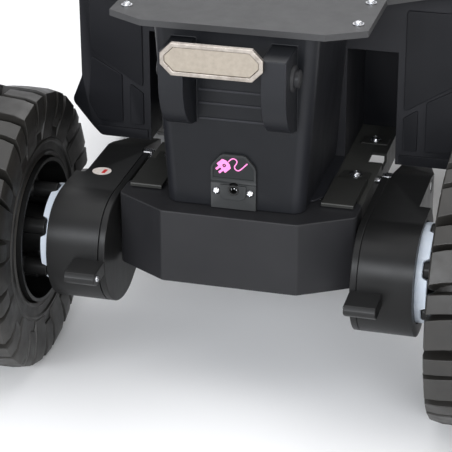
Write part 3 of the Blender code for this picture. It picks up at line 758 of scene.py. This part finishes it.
def build_sticker():
    """Small oval inspection label with a slanting bar, on the left rear arm only."""
    centre, top = (150 * MM, 36 * MM), BOX_TOP
    oval = [(centre[0] + 9.4 * MM * cos(t), centre[1] + 8.8 * MM * sin(t))
            for t in (tau * k / 48 for k in range(48))]
    film = prism_z(oval, top + 0.02 * MM, top + 0.22 * MM)
    corner_pieces("label", film, LABEL, "arm", only=["rl"])
    bar = mm((-4.2, -4.6), (-0.6, -4.6), (-1.4, 4.4), (-5, 4.4))
    bar = rounded([(centre[0] + x, centre[1] + y) for x, y in bar], 0.6 * MM, 3)
    ink = prism_z(bar, top + 0.22 * MM, top + 0.3 * MM)
    corner_pieces("label_bar", ink, RED, "arm", only=["rl"])


def build_pivot_bolt():
    """Hex collar, washer and shank between rail and arm."""
    collar = prism_x(circle(EYE, 9 * MM, 6), 118.6 * MM, 126.3 * MM)
    washer = rod(EYE, 117 * MM, 118.4 * MM, 8.6 * MM, 40)
    steps = mm((104.2, 0), (104.2, 5.8), (109.9, 5.8), (109.9, 4.2), (164.6, 4.2), (164.6, 0))
    bolt = merged(collar, washer, turned(EYE, steps, 30))
    corner_pieces("hinge_bolt", bolt, ZINC, "chassis", 0.6 * MM, "pivot_bolt")


def build_motor():
    """Ribbed motor can with its vent slots and bearing boss."""
    low, high = MOTOR_LOW.x, MOTOR_HIGH.x
    profile = from_face(low, (0, 0), (0, 5.5), (1, 6.5), (4.6, 6.8), (5, 15), (7.5, 17.4), (16, 17.6),
                        (16.6, 18))
    profile += from_face(high, (-9, 18), (-8.6, 17.3), (-7.4, 17.3), (-7, 18), (-0.3, 18), (-0.3, 3.1),
                         (-17, 3.1), (-17, 0))
    slots = []
    for k in range(4):
        turn = radians(45 + 90 * k)
        at = (MOTOR_AT[0] + 11 * MM * cos(turn), MOTOR_AT[1] + 11 * MM * sin(turn))
        slots.append(rod(at, low + 2 * MM, low + 9 * MM, 2.6 * MM, 20))
    can = solid(turned(MOTOR_AT, profile, 64), cuts=slots)
    corner_pieces("motor_can", can, STEEL, "arm", 0.4 * MM, "motor")


# ---------------------------------------------------------------- chassis

PORT_BASE = BUMPER_HIGH.z
JACK = (SOCKET.x, SOCKET.z)


# Outline points nearer the centreline than this are left out, so a flat face has no seam in its middle
OFF_CENTRE = 20 * MM


def bumper_plan(inset):
    """Flat middle, angled sides and rounded outer corners, rear end."""
    half_flat, side = 65 * MM - inset * 0.27, BUMPER_HIGH.x - inset
    face, knee, back = BUMPER_LOW.y + inset, BUMPER_LOW.y + 29.5 * MM + inset * 0.75, BUMPER_HIGH.y - inset
    right = rounded([(0.0, face), (half_flat, face), (side, knee), (side, back), (0.0, back)], 7 * MM, 6)
    return mirrored([p for p in right if p[0] > OFF_CENTRE])


def build_bumpers():
    """Hollow mouldings, open below, with a soft fold where the flat meets the angled sides."""
    low, high = BUMPER_LOW.z, BUMPER_HIGH.z
    hollow = prism_z(bumper_plan(WALL), low - 5 * MM, high - WALL)
    shape = solid(prism_z(bumper_plan(0.0), low, high), cuts=[hollow])
    front = to_front(shape.copy())
    for name, bumper in (("rear", shape), ("front", front)):
        piece(f"bumper_shell_{name}", bumper, SATIN, 1.3 * MM, [f"bumper_{name}"], 3, 24)


COLUMN_FACE = PORT_HIGH.y + 0.3 * MM


def column_plan(z, inset):
    """Plan of the rear column at a height, with round outer corners."""
    half = 66 * MM + 0.0663 * (z - PORT_BASE) - inset
    radius = 12 * MM
    front = COLUMN_FACE + inset
    back = COLUMN_HIGH.y - inset
    right = arc((half - radius, front + radius), radius, -90, 0, 8)
    return mirrored(right + [(half, back)])


def column_body(inset, low, high):
    return loft(*[[(x, y, z) for x, y in column_plan(z, inset)] for z in (low, high)])


def lug_shape(side):
    """Deep lug with a quarter-round underside."""
    root, nose = COLUMN_FACE + 1.5 * MM, COLUMN_LOW.y
    top, low, rise = PORT_BASE + 165 * MM, PORT_BASE + 84 * MM, 50 * MM
    under = [(root + (nose - root) * sin(t), low + rise * (1 - cos(t)))
             for t in (pi / 2 * k / 18 for k in range(19))]
    return prism_x(under + [(nose, top), (root, top)], side * 47 * MM - 11.5 * MM, side * 47 * MM + 11.5 * MM)


def build_columns():
    """Rear column with lugs and its port opening, plain front column, and fine steps across the face."""
    low, high = COLUMN_LOW.z, COLUMN_HIGH.z
    face = COLUMN_FACE
    rear = solid(column_body(0.0, low, high), joins=[lug_shape(-1), lug_shape(1)],
                 cuts=[column_body(WALL, low - 4 * MM, high - WALL),
                       rod(JACK, face - 9 * MM, face + 9 * MM, 6.3 * MM, 32, "Y")])
    piece("column_shell_rear", rear, COLUMN, 1 * MM, ["column_rear"], 3, 26)
    front = to_front(solid(column_body(0.0, low, high), cuts=[column_body(WALL, low - 4 * MM, high - WALL)]))
    piece("column_shell_front", front, COLUMN, 1 * MM, ["column_front"], 3, 26)
    for number, height in enumerate((87, 102, 115)):
        z = PORT_BASE + height * MM
        strip = box(-33 * MM, 33 * MM, face - 1 * MM, face + 0.5 * MM, z, z + 2.2 * MM)
        piece(f"column_step_{number}", strip, COLUMN, 0.5 * MM)


def at_port(*points):
    """Points on the port plate, from its middle and its lower edge, in millimetres."""
    return [(x * MM, PORT_BASE + z * MM) for x, z in points]


def build_port():
    """Arched plate with a recessed field, a lower socket plate, side gaps, contacts and the plug icon."""
    face, back = PORT_LOW.y, PORT_HIGH.y
    outline = mirrored(at_port((21.5, 0.6), (21.5, 41), (20.2, 44.5), (12.5, 53.6), (9.5, 55.1)))
    recess = mirrored(at_port((19.2, 31.5), (19.2, 40.4), (18.2, 43.2), (11.6, 51.2), (9.2, 52.6)))
    groove = (PORT_BASE + 26 * MM, PORT_BASE + 28.4 * MM)
    cuts = [prism_y(recess, face - 2 * MM, face + 0.7 * MM),
            box(-23 * MM, 23 * MM, face - 2 * MM, face + 1.3 * MM, *groove),
            rod(JACK, face - 5 * MM, back + 5 * MM, 6.3 * MM, 40, "Y")]
    plate = solid(prism_y(outline, face, back), cuts=cuts)
    piece("port_panel", plate, PORT, 0.6 * MM, ["port_plate"], 2, 30)

    tongue = prism_y(mirrored(at_port((12.5, 25), (12.5, 15.5), (10.5, 12), (7, 10.4))),
                     face - 1.6 * MM, face - 0.05 * MM)
    tongue = solid(tongue, cuts=[rod(JACK, face - 9 * MM, back + 9 * MM, 3.25 * MM, 40, "Y")])
    piece("port_tongue", tongue, PORT, 0.5 * MM)

    mouth = face - 1 * MM
    barrel = from_face(mouth, (13, 0), (13, 3.25), (0.4, 3.3), (-1.2, 3.4), (-1.5, 3.8), (-1.5, 4.9),
                       (-1.2, 5.2), (0.3, 5.3), (20, 5.9), (20, 0))
    barrel = turned(JACK, barrel, 40, "Y")
    piece("socket_barrel", barrel, GLOSS, 0, ["charge_socket"])
    pin = from_face(mouth, (2, 0), (2.3, 0.7), (3, 1), (12.9, 1), (12.9, 0))
    contacts = [turned(JACK, pin, 20, "Y")]
    for side in (-1, 1):
        x, z = SOCKET.x + side * 2.35 * MM, SOCKET.z
        contacts.append(box(x - 0.35 * MM, x + 0.35 * MM, mouth + 1.2 * MM, mouth + 12 * MM,
                            z - 1.1 * MM, z + 1.1 * MM))
    piece("socket_contacts", merged(*contacts), ZINC, 0.15 * MM)


def build_port_screws():
    """Domed cross-head screws in the two lower corners of the port plate."""
    seat = PORT_LOW.y - 0.3 * MM
    for side, name in SIDES:
        x, z = side * SCREW.x, SCREW.z
        profile = from_face(seat, (-2.6, 0), (-2.55, 1.3), (-2.1, 2.5), (-1.2, 3.4), (-0.5, 3.75), (0, 3.75),
                            (0, 1.4), (12, 1.4), (13, 0))
        slots = [box(x - a, x + a, seat - 4 * MM, seat - 1.5 * MM, z - b, z + b)
                 for a, b in mm((2.1, 0.42), (0.42, 2.1))]
        screw = solid(turned((x, z), profile, 40, "Y"), cuts=slots)
        piece(f"port_fixing_{name}", screw, ZINC, 0, [f"port_screw_{name}"], angle=26)


def tube_along(points, radius, steps=10, flat=0.35):
    """A flattened bead through (X, Z) points on the port plate's field, half sunk in it."""
    y = PORT_LOW.y + 0.62 * MM
    ring = [(cos(tau * k / steps), sin(tau * k / steps)) for k in range(steps)]
    bm = bmesh.new()
    rows = []
    for k, (x, z) in enumerate(points):
        before, after = points[max(k - 1, 0)], points[min(k + 1, len(points) - 1)]
        along = Vector((after[0] - before[0], after[1] - before[1])).normalized()
        rows.append([bm.verts.new((x - along.y * radius * c, y - flat * radius * s, z + along.x * radius * c))
                     for c, s in ring])
    bm.faces.new(rows[0])
    bm.faces.new(rows[-1])
    for near, far in zip(rows, rows[1:]):
        for s in range(steps):
            bm.faces.new((near[s], near[(s + 1) % steps], far[(s + 1) % steps], far[s]))
    return outward(bm)


def smooth_line(knots, steps=8):
    """A curve through the knots."""
    line = []
    ends = [knots[0]] + knots + [knots[-1]]
    for a, b, c, d in zip(ends, ends[1:], ends[2:], ends[3:]):
        for k in range(steps):
            t = k / steps
            line.append(tuple(0.5 * (2 * q + (r - p) * t + (2 * p - 5 * q + 4 * r - u) * t * t
                                     + (3 * q - p - 3 * r + u) * t ** 3) for p, q, r, u in zip(a, b, c, d)))
    return line + [knots[-1]]


def build_icon():
    """Pink charging mark: a tilted two-pin plug with a ring, and a curling lead."""
    level = PORT_LOW.y + 0.7 * MM
    centre = Vector(at_port((-8.8, 43.6))[0])
    tilt = radians(-47)

    def place(a, b):
        return (centre.x + (a * cos(tilt) - b * sin(tilt)) * MM,
                centre.y + (a * sin(tilt) + b * cos(tilt)) * MM)

    def plate(points, depth=0.35):
        return prism_y([place(a, b) for a, b in points], level - depth * MM, level + 0.05 * MM)

    body = plate(rounded([(-6, -4.2), (6, -4.2), (6, 3.2), (2.2, 5.2), (-2.2, 5.2), (-6, 3.2)], 0.7, 4))
    plug = solid(body, cuts=[rod(place(0, 0.2), level - 2 * MM, level + 2 * MM, 1.75 * MM, 28, "Y")])
    dot = rod(place(0, 0.2), level - 0.3 * MM, level + 0.1 * MM, 0.55 * MM, 20, "Y")
    pins = [plate(rounded([(a - 1.15, -8.6), (a + 1.15, -8.6), (a + 1.15, -4.0), (a - 1.15, -4.0)], 0.6, 3))
            for a in (-2.1, 2.1)]
    piece("icon_plug", merged(plug, dot, *pins), PINK, 0.08 * MM)
    knots = at_port((-5, 47.4), (-2.4, 50.2), (-0.2, 51.3), (2.2, 50.6), (3.5, 48.6), (2.6, 45.9),
                    (1.3, 43.9), (1.4, 41.7), (2.8, 40.2), (4.9, 39.8), (7.3, 41.3), (10.2, 44.3),
                    (13.4, 47.6))
    piece("icon_lead", tube_along(smooth_line(knots), 0.58 * MM), PINK)


def build_tail_plate():
    """Metal rim with cut corners round a warm pale face."""
    low, high = PLATE_LOW, PLATE_HIGH
    middle, wide = (low.x + high.x) / 2, (high.x - low.x) / 2

    def outline(inset):
        half, cut = wide - inset, 10 * MM - inset * 0.4
        base, top = low.z + inset, high.z - inset
        shape = mirrored([(half - cut, base), (half, base + cut), (half, top - cut), (half - cut, top)])
        return [(middle + x, z) for x, z in shape]

    recess = prism_y(outline(4 * MM), low.y - 2 * MM, low.y + 1.5 * MM)
    rim = solid(prism_y(outline(0), low.y, high.y), cuts=[recess])
    piece("plate_rim", rim, PLATE_RIM, 0.7 * MM, ["tail_plate"], 3)
    field = prism_y(outline(4.3 * MM), low.y + 0.9 * MM, low.y + 1.45 * MM)
    piece("plate_field", field, PLATE_FACE, 0.2 * MM)


def tub_section():
    """Swept fender outline across the tub."""
    base = TUB_LOW.z
    right = [(x * MM, base + z * MM) for x, z in ((178, 0), (187, 9.5), (208, 35.5), (197, 62.5))]
    right.append((197 * MM, TUB_HIGH.z))
    soft = rounded([(0.0, base)] + right + [(0.0, TUB_HIGH.z)], 9 * MM, 6)
    kept = [(x, z) for x, z in soft if x > OFF_CENTRE]
    kept = [(kept[0][0], base)] + kept[1:-1] + [(kept[-1][0], TUB_HIGH.z)]
    return mirrored(kept)


def build_tub():
    """Body tub with tunnels over the rail ends and creased fender panels."""
    base, top, reach = TUB_LOW.z, TUB_HIGH.z, TUB_HIGH.y
    floor, inside, over, wide = base + WALL, reach - WALL, 308 * MM, 193 * MM
    cuts = [box(-183 * MM, 183 * MM, -82 * MM, 82 * MM, floor, top + 0.01),
            box(-71.5 * MM, 71.5 * MM, -inside, inside, floor, top + 0.01),
            box(-wide, wide, -inside, inside, over + WALL, top + 0.01)]
    for side in (-1, 1):
        pod = sorted((side * 128.5 * MM, side * 183 * MM))
        tunnel = sorted((side * 75 * MM, side * 125 * MM))
        upper = sorted((side * 128.5 * MM, side * wide))
        cuts.append(box(*pod, -inside, inside, floor, over + 0.013))
        cuts.append(box(*upper, -inside, inside, base + 66 * MM, over + 0.013))
        for end in (-1, 1):
            depth = sorted((end * 85.5 * MM, end * (reach + 2 * MM)))
            cuts.append(box(*tunnel, *depth, base - 2 * MM, over))
    tub = solid(prism_y(tub_section(), -reach, reach), cuts=cuts)
    piece("tub_shell", tub, TUBPLASTIC, 2.2 * MM, ["body_tub"], 3, 24)


def build_fender_details():
    """Raised panel, lip and groove on each fender end, and ribs along both sides."""
    base, reach = TUB_LOW.z, TUB_HIGH.y
    for end, side, tag in CORNERS:
        def out(points):
            return [(side * x * MM, base + z * MM) for x, z in points]
        y0, y1 = sorted((end * (reach - 0.5 * MM), end * (reach + 1.8 * MM)))
        panel = rounded(out([(132, 16), (146, 16), (146, 60), (132, 50)]), 2 * MM, 3)
        side_panel = rounded(out([(154, 16), (180, 18), (190, 36), (186, 86), (154, 68)]), 3 * MM, 3)
        crown = rounded(out([(132, 56), (178, 86), (186, 96), (186, 160), (132, 160)]), 3 * MM, 3)
        for name, shape in (("inner", panel), ("outer", side_panel), ("upper", crown)):
            piece(f"fender_{name}_{tag}", prism_y(shape, y0, y1), TUBPLASTIC, 1 * MM)
        band = rounded(out([(128, 1.5), (176, 1.5), (182, 11), (128, 11)]), 1.5 * MM, 3)
        piece(f"fender_lip_{tag}", prism_y(band, y0, y1), TUBPLASTIC, 0.8 * MM)
    for side in (-1, 1):
        for row in range(3):
            z = base + (82 + row * 26) * MM
            x = sorted((side * 196.2 * MM, side * 198.6 * MM))
            rib = box(*x, -150 * MM, 150 * MM, z, z + 9 * MM)
            piece(f"side_rib_{'l' if side < 0 else 'r'}{row}", rib, TUBPLASTIC, 1 * MM)


def bolt_z(x, y, z, scale=1.0):
    """Button-head bolt on a washer, seen from above."""
    s = scale * MM
    head = [(z + a * s, r * s) for a, r in ((1, 0), (1, 4.4), (2, 4.3), (3.2, 3.4), (3.8, 2.2), (3.8, 0))]
    socket = prism_z(circle((x, y), 1.7 * s, 6), z + 2.2 * s, z + 6 * s)
    washer = rod((x, y), z, z + s, 6.2 * s, 32, "Z")
    return merged(washer, solid(turned((x, y), head, 32, "Z"), cuts=[socket]))


def build_rail_fittings():
    """Clamp plates with bright bolts on both rail ends."""
    top = RAIL_HIGH.z
    for end, side, tag in CORNERS:
        for number, (x, y) in enumerate(((93.7, 217.5), (96.0, 127.5))):
            plan = rounded(rect(side * x, end * y, 14, 9), 2 * MM, 4)
            pad = prism_z(plan, top + 0.1 * MM, top + 2 * MM)
            piece(f"clamp_{tag}{number}", pad, POWDER, 0.6 * MM)
            bolt = bolt_z(side * x * MM, end * y * MM, top + 2 * MM)
            piece(f"clamp_bolt_{tag}{number}", bolt, ZINC, 0.25 * MM)


def build_rail_ends():
    """Straps that lap over the bumpers from each rail end, and dark sheets under the rail notches that stand
    in for the shade there.
    """
    top, over = RAIL_HIGH.z, BUMPER_HIGH.z
    strap_top, hem, sheet = over + 4.4 * MM, over + 0.9 * MM, 2.2 * MM
    for end, side, tag in CORNERS:
        profile = [(-303, hem), (-303, strap_top - 0.6 * MM), (-302.4, strap_top), (-240, strap_top),
                   (-232, top + 3 * MM), (-232, top + 0.2 * MM), (-285.5, top + 0.2 * MM),
                   (-285.5, strap_top - sheet), (-300.8, strap_top - sheet), (-300.8, hem)]
        outline = [(-end * y * MM, z) for y, z in profile]
        strap = prism_x(outline, *sorted((side * 77.5 * MM, side * 108.5 * MM)))
        piece(f"rail_strap_{tag}", strap, POWDER, 0.5 * MM)
        low = RAIL_LOW.z
        near, far = sorted((end * 150 * MM, end * 205 * MM))
        # A dark sheet under each rail notch: painted shade that hides the bright floor below the notch
        shade_sheet = box(*sorted((side * 74.8 * MM, side * 109.9 * MM)), near, far, low + 0.3 * MM, low + 1.6 * MM)
        piece(f"rail_notch_shade_{tag}", shade_sheet, POWDER, 0.3 * MM)


def build_column_feet():
    """A flange round the foot of each column, and the pins through the tops of the rear lugs."""
    low = COLUMN_LOW.z
    for end, tag in ((-1, "rear"), (1, "front")):
        plan = rounded(mm((-77, 186), (77, 186), (77, 283), (69, 296), (-69, 296), (-77, 283)), 4 * MM, 4)
        foot = prism_z([(x, end * y) for x, y in plan], low + 0.1 * MM, low + 2.2 * MM)
        piece(f"column_foot_{tag}", foot, COLUMN, 0.7 * MM)
    for side, tag in SIDES:
        centre = (-343 * MM, PORT_BASE + 141 * MM)
        face = side * 58.5 * MM
        pin = ((-1, 0), (-1, 12), (2, 12), (3, 11), (3.4, 9), (6.4, 8.6), (7, 7.8), (7, 0))
        profile = from_face(face, *[(side * a, r) for a, r in pin])
        piece(f"lug_pin_{tag}", turned(centre, profile, 48), SATIN, angle=30)


def build_deck():
    """Deck furniture: a ribbed rubber mat in a raised frame, rim bolts and two slotted mounting strips."""
    top = DECK_HIGH.z

    def pad(half_x, half_y, radius, low, high):
        return prism_z(rounded(rect(0, 0, half_x, half_y), radius * MM, 8), top + low * MM, top + high * MM)

    frame_ring = solid(pad(104, 148, 16, -0.5, 2.6), cuts=[pad(98, 142, 12, -2, 5)])
    piece("deck_frame", frame_ring, SATIN, 0.7 * MM)
    piece("deck_mat", pad(97, 141, 11, -0.4, 1.0), BUSH, 0.3 * MM)
    ribs = [box(-92 * MM, 92 * MM, (y - 2.4) * MM, (y + 2.4) * MM, top + 0.6 * MM, top + 2 * MM)
            for y in range(-132, 133, 12)]
    piece("deck_ribs", merged(*ribs), BUSH, 0.5 * MM)
    for side, tag in SIDES:
        x = side * 150
        holes = [prism_z(rounded(rect(x, y, 4, 13), 4 * MM, 6), top - 1 * MM, top + 6 * MM)
                 for y in (-72, -24, 24, 72)]
        strip = prism_z(rounded(rect(x, 0, 12, 120), 5 * MM, 5), top + 0.1 * MM, top + 3.1 * MM)
        piece(f"mount_strip_{tag}", solid(strip, cuts=holes), PLATE_RIM, 0.5 * MM)
        for number, y in enumerate((-104, 104)):
            bolt = bolt_z(x * MM, y * MM, top + 3.1 * MM, 0.8)
            piece(f"strip_bolt_{tag}{number}", bolt, ZINC, 0.2 * MM)
        places = ((108, -300), (108, -240), (186, -150), (186, 0), (186, 150), (108, 240), (108, 300))
        for number, (x, y) in enumerate(places):
            bolt = bolt_z(side * x * MM, y * MM, top + 0.1 * MM, 0.85)
            piece(f"deck_bolt_{tag}{number}", bolt, ZINC, 0.2 * MM)


def dress_cad():
    """Materials and rounded edges for the CAD pieces that stay."""
    kept = {"rail_left": (POWDER, 0.9), "rail_right": (POWDER, 0.9), "cross_tube_rear": (BLUED, 0.0),
            "cross_tube_front": (BLUED, 0.0), "deck": (SATIN, 1.4), "battery": (CASE, 3.0)}
    for _, _, tag in CORNERS:
        kept[f"idler_gear_{tag}"] = (NYLON, 0.2)
        kept[f"pinion_{tag}"] = (BRASS, 0.15)
        kept[f"pivot_bush_{tag}"] = (BUSH, 0.2)
    for name, (mat, bevel) in kept.items():
        node = NODES[name]
        node.data.materials.clear()
        node.data.materials.append(mat)
        finish_mesh(node, bevel * MM)


for build in (build_tyre, build_rim, build_drive_ring, build_hub_nut, build_shell, build_cover, build_tab,
              build_sticker, build_pivot_bolt, build_motor, build_bumpers, build_columns, build_port,
              build_port_screws, build_icon, build_tail_plate, build_tub, build_fender_details,
              build_rail_fittings, build_rail_ends, build_column_feet, build_deck):
    build()
dress_cad()
